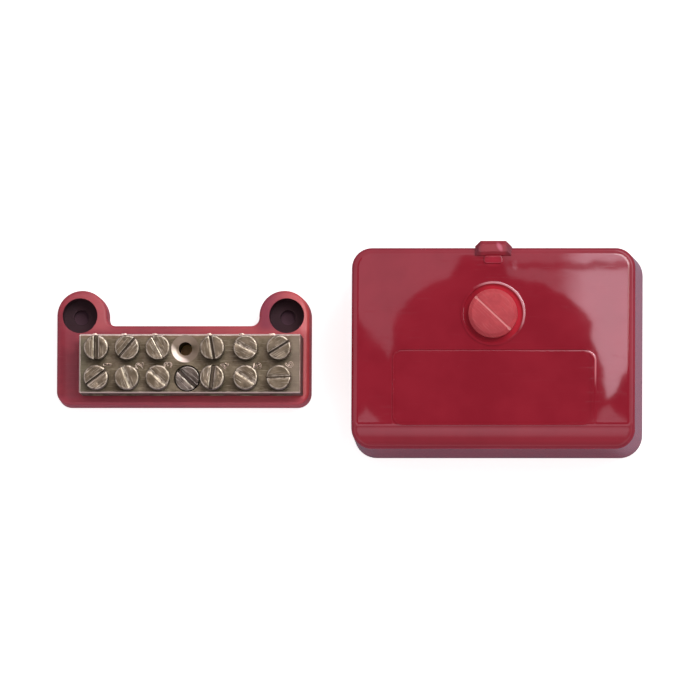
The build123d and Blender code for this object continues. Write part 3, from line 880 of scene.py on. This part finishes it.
def outline_mesh(name, text, height, burr):
    """The flat shape of a digit as a mesh, or a thin round burr along its outline, lying at the origin."""
    curve = bpy.data.curves.new(name, "FONT")
    curve.body = text
    curve.size = height / DIGIT_SHARE
    curve.align_x = "CENTER"
    curve.align_y = "CENTER"
    if burr:
        curve.fill_mode = "NONE"
        curve.bevel_depth = burr
        curve.bevel_resolution = 2
    holder = bpy.data.objects.new(name, curve)
    bpy.context.scene.collection.objects.link(holder)
    bpy.context.view_layer.update()
    mesh = bpy.data.meshes.new_from_object(holder.evaluated_get(bpy.context.evaluated_depsgraph_get()))
    bpy.data.objects.remove(holder)
    return mesh


# Each digit's place from the countersunk hole's axis, in millimetres, in the gap between the two rows
DIGIT_PLACES = ((-25.6, -5.3), (-15.0, -5.6), (-5.5, -5.3), (13.2, -5.8), (24.0, -5.6), (34.5, -5.3))
DIGIT_HEIGHT = 2.6 * MM
DIGIT_BURR = 0.10 * MM
DIGIT_WIDENING = 1.20
DIGIT_LIFT = 0.012


def way_number(number, offset_x, offset_y):
    """A digit struck into the bar's top, lying on its side: a flat dark sheet, painted shade standing for
    its floor, inside a bright raised outline.
    """
    shape = bmesh.new()
    for burr, finish_index in ((0.0, 0), (DIGIT_BURR, 1)):
        mesh = outline_mesh("digit", str(number), DIGIT_HEIGHT, burr)
        first = len(shape.faces)
        shape.from_mesh(mesh)
        shape.faces.ensure_lookup_table()
        for face in shape.faces[first:]:
            face.material_index = finish_index
        bpy.data.meshes.remove(mesh)
    bmesh.ops.remove_doubles(shape, verts=shape.verts, dist=TOO_SHORT)
    bmesh.ops.scale(shape, vec=(DIGIT_WIDENING, 1.0, 1.0), verts=shape.verts)
    centre = hole_axis + Vector((offset_x * MM, offset_y * MM, DIGIT_LIFT * MM))
    lain = Matrix.Translation(centre) @ Matrix.Rotation(math.radians(90), 4, "Z")
    bmesh.ops.transform(shape, matrix=lain, verts=shape.verts)
    mesh = bpy.data.meshes.new(f"way_number_{number}")
    shape.to_mesh(mesh)
    shape.free()
    mesh.materials.append(struck_shade)
    mesh.materials.append(struck_bright)
    made = bpy.data.objects.new(f"way_number_{number}", mesh)
    bpy.context.scene.collection.objects.link(made)
    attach(made, "block")


# Painted shade for the digits' struck floors
struck_shade = plain_metal_finish(
    "struck_shade", colour=(0.075, 0.056, 0.036), dark=(0.040, 0.030, 0.020), rough=0.5
)
struck_bright = plain_metal_finish(
    "struck_bright", colour=(0.86, 0.78, 0.62), dark=(0.50, 0.43, 0.32), rough=0.26
)
for number, place in enumerate(DIGIT_PLACES, 1):
    way_number(number, *place)


# Where the burrs lie along the rear edge from the countersunk hole's axis, and how far inside and below
# the edge their middles are, in millimetres
BURR_PLACES = (-29.9, -20.2, -10.1, 7.9, 18.6, 28.7)
BURR_INSET = 0.12
BURR_SINK = 0.17
BURR_SEED = 3


def edge_burrs():
    """Six small humps of pushed-out brass on the bar's rear top edge. Each is a closed form: its section is
    an ellipse about the edge, swelling along the edge as the square root of 1 - s^2."""
    sheets = []
    s = np.linspace(-1, 1, 17)[:, None]
    a = np.linspace(0, 2 * np.pi, 16, endpoint=False)[None, :]
    swelling = np.sqrt(np.maximum(1 - s**2, 0))
    rng = np.random.default_rng(BURR_SEED)
    for offset in BURR_PLACES:
        long, wide, tall = rng.uniform(0.85, 1.2), rng.uniform(0.34, 0.48), rng.uniform(0.16, 0.24)
        x = hole_axis.x / MM + offset + long * s + 0 * a
        y = bar_high.y / MM - BURR_INSET + wide * swelling * (1 + 0.15 * np.sin(5 * s)) * np.cos(a)
        z = bar_high.z / MM - BURR_SINK + tall * swelling * np.sin(a)
        sheets.append((np.stack([x, y, z], axis=-1) * MM, True))
    made = piece("edge_burrs", sheets, struck_bright)
    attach(made, "block")


edge_burrs()


FLOOR_REACH = 6.0
FLOOR_DROP = 0.0002


def floor_plate():
    """A wide flat grid just under the object."""
    edge = np.linspace(-FLOOR_REACH, FLOOR_REACH, 9)
    x, y = np.meshgrid(edge, edge, indexing="ij")
    plate = np.stack([x, y, np.full_like(x, -FLOOR_DROP)], axis=-1)
    made = piece("floor", [(plate, False)], floor_finish())


floor_plate()


def studio_lamp(name, place, size, radiance, colour):
    """A square soft lamp aimed at the object, with the power that gives its face this radiance."""
    lamp = bpy.data.lights.new(name, "AREA")
    lamp.size = size
    lamp.energy = radiance * math.pi * size * size
    lamp.color = colour
    holder = bpy.data.objects.new(name, lamp)
    aim = (target - Vector(place)).to_track_quat("-Z", "Y")
    holder.matrix_world = Matrix.Translation(place) @ aim.to_matrix().to_4x4()
    holder.visible_camera = False
    bpy.context.scene.collection.objects.link(holder)


studio_lamp("key_lamp", place=(0.76, 0.62, 1.74), size=0.85, radiance=5.6, colour=(1.0, 0.98, 0.95))

# The room's even level, and the dark arch that the cover's top reflects. Overhead, a direction is given by
# u = x / z and v = y / z: u is 0 straight up and grows to the right, and v grows to the rear.
ROOM_LEVEL = 0.44
GLOSSY_TINT = (1.08, 0.86, 0.98)
ARCH_U = -0.06
ARCH_SPRING_V = 0.0646
ARCH_RISE = 0.0474
ARCH_LEFT_SLENDER, ARCH_RIGHT_SLENDER = 13.1, 11.4


def studio_room():
    """The room around: even soft light, white to the camera. In reflections it has, overhead, a dark arch
    with a neck above it, a bright window to the arch's right that is cut off by a diagonal and crossed by
    one shaded line, a dimmer window to its left, and two small bright peaks in front. Further down are a
    pale surround, brighter and dimmer in bands towards the front, and a bright window at the rear right."""
    world = bpy.data.worlds.new("studio")
    bpy.context.scene.world = world
    world.use_nodes = True
    shade = Shade(world.node_tree)
    x, y, z = shade.parts(shade.node("ShaderNodeTexCoord", output=0))
    overhead = shade.math("MAXIMUM", z, 0.02)
    u, v = x / overhead, y / overhead

    # The arch: straight sides, the right one leaning out downwards, under an oval top
    right_side = u > ARCH_U
    above_spring = shade.math("MAXIMUM", v - ARCH_SPRING_V, 0.0) * (1 / ARCH_RISE)
    lean = shade.math("MAXIMUM", ARCH_SPRING_V - v, 0.0) * 0.25 * right_side
    slender = ARCH_LEFT_SLENDER - (ARCH_LEFT_SLENDER - ARCH_RIGHT_SLENDER) * right_side
    from_middle = (u - lean - ARCH_U) * slender
    outside = shade.rise(shade.math("SQRT", from_middle ** 2.0 + above_spring ** 2.0), 0.985, 1.015)
    neck = shade.rise(abs(u + 0.062) - (0.125 - v) * 0.4, 0.021, 0.016)
    neck = neck * shade.rise(v, 0.098, 0.104) * shade.rise(v, 0.132, 0.128)

    # The windows and the two bright peaks
    diagonal = shade.rise(v - (u - 0.040) * 2.0, 0.008, 0.013) * shade.rise(u, 0.12, 0.08)
    beyond = shade.rise(v - u * 0.5, 0.0, 0.05) * (u > 0.08)
    right_window = outside * right_side * shade.math("MAXIMUM", diagonal, beyond)
    left_window = outside * (u < ARCH_U) * shade.rise(v + (u + 0.143) * 1.27, 0.050, 0.056)
    right_peak = shade.rise(0.009 - v - abs(u - 0.0420) * 1.1, 0.0, 0.003)
    left_peak = shade.rise(0.0075 - v - abs(u + 0.156) * 1.1, 0.0, 0.003)
    peaks = shade.math("MAXIMUM", right_peak, left_peak) * shade.rise(v, -0.05, -0.04)
    shaded_line = shade.rise(abs(v - 0.1205), 0.0040, 0.0022) * shade.rise(u, -0.045, -0.035)
    right_glow = (1.1 + 4.2 * shade.rise(u, -0.002, 0.024)) * (1.0 - 0.8 * shaded_line)
    windows = right_window * right_glow + left_window * 1.15
    upper = shade.rise(z, 0.80, 0.90)
    glow = upper * (0.10 + windows * (1.0 - neck) + peaks * 1.4)

    # The surround, with its rear right window, and the dimmer half below the floor
    ahead = shade.rise(y, 0.0, -0.2)
    surround = 0.75 * shade.rise(z, 0.45, 0.74) - 0.50 * shade.rise(abs(z - 0.42), 0.16, 0.06)
    corner_window = shade.rise(x + y, 0.9, 1.2) * shade.rise(abs(z - 0.22), 0.30, 0.16) * 2.2
    glow = glow + (1.0 - upper) * (0.95 + ahead * surround + corner_window)
    glow = glow * shade.rise(z, -0.2, 0.2) + 0.4 * shade.rise(z, 0.2, -0.2)

    outputs = shade.node("ShaderNodeLightPath").socket.node.outputs
    seen, mirrored = (Wire(shade, outputs[name]) for name in ("Is Camera Ray", "Is Glossy Ray"))
    level = ROOM_LEVEL + (glow - ROOM_LEVEL) * mirrored
    level = level + (1.0 - level) * seen
    background = world.node_tree.nodes["Background"]
    shade.feed(background.inputs["Strength"], level)
    shade.feed(background.inputs["Color"], shade.mix(mirrored, (1.0, 1.0, 1.0), GLOSSY_TINT))


studio_room()

bpy.context.scene.view_settings.view_transform = "Standard"
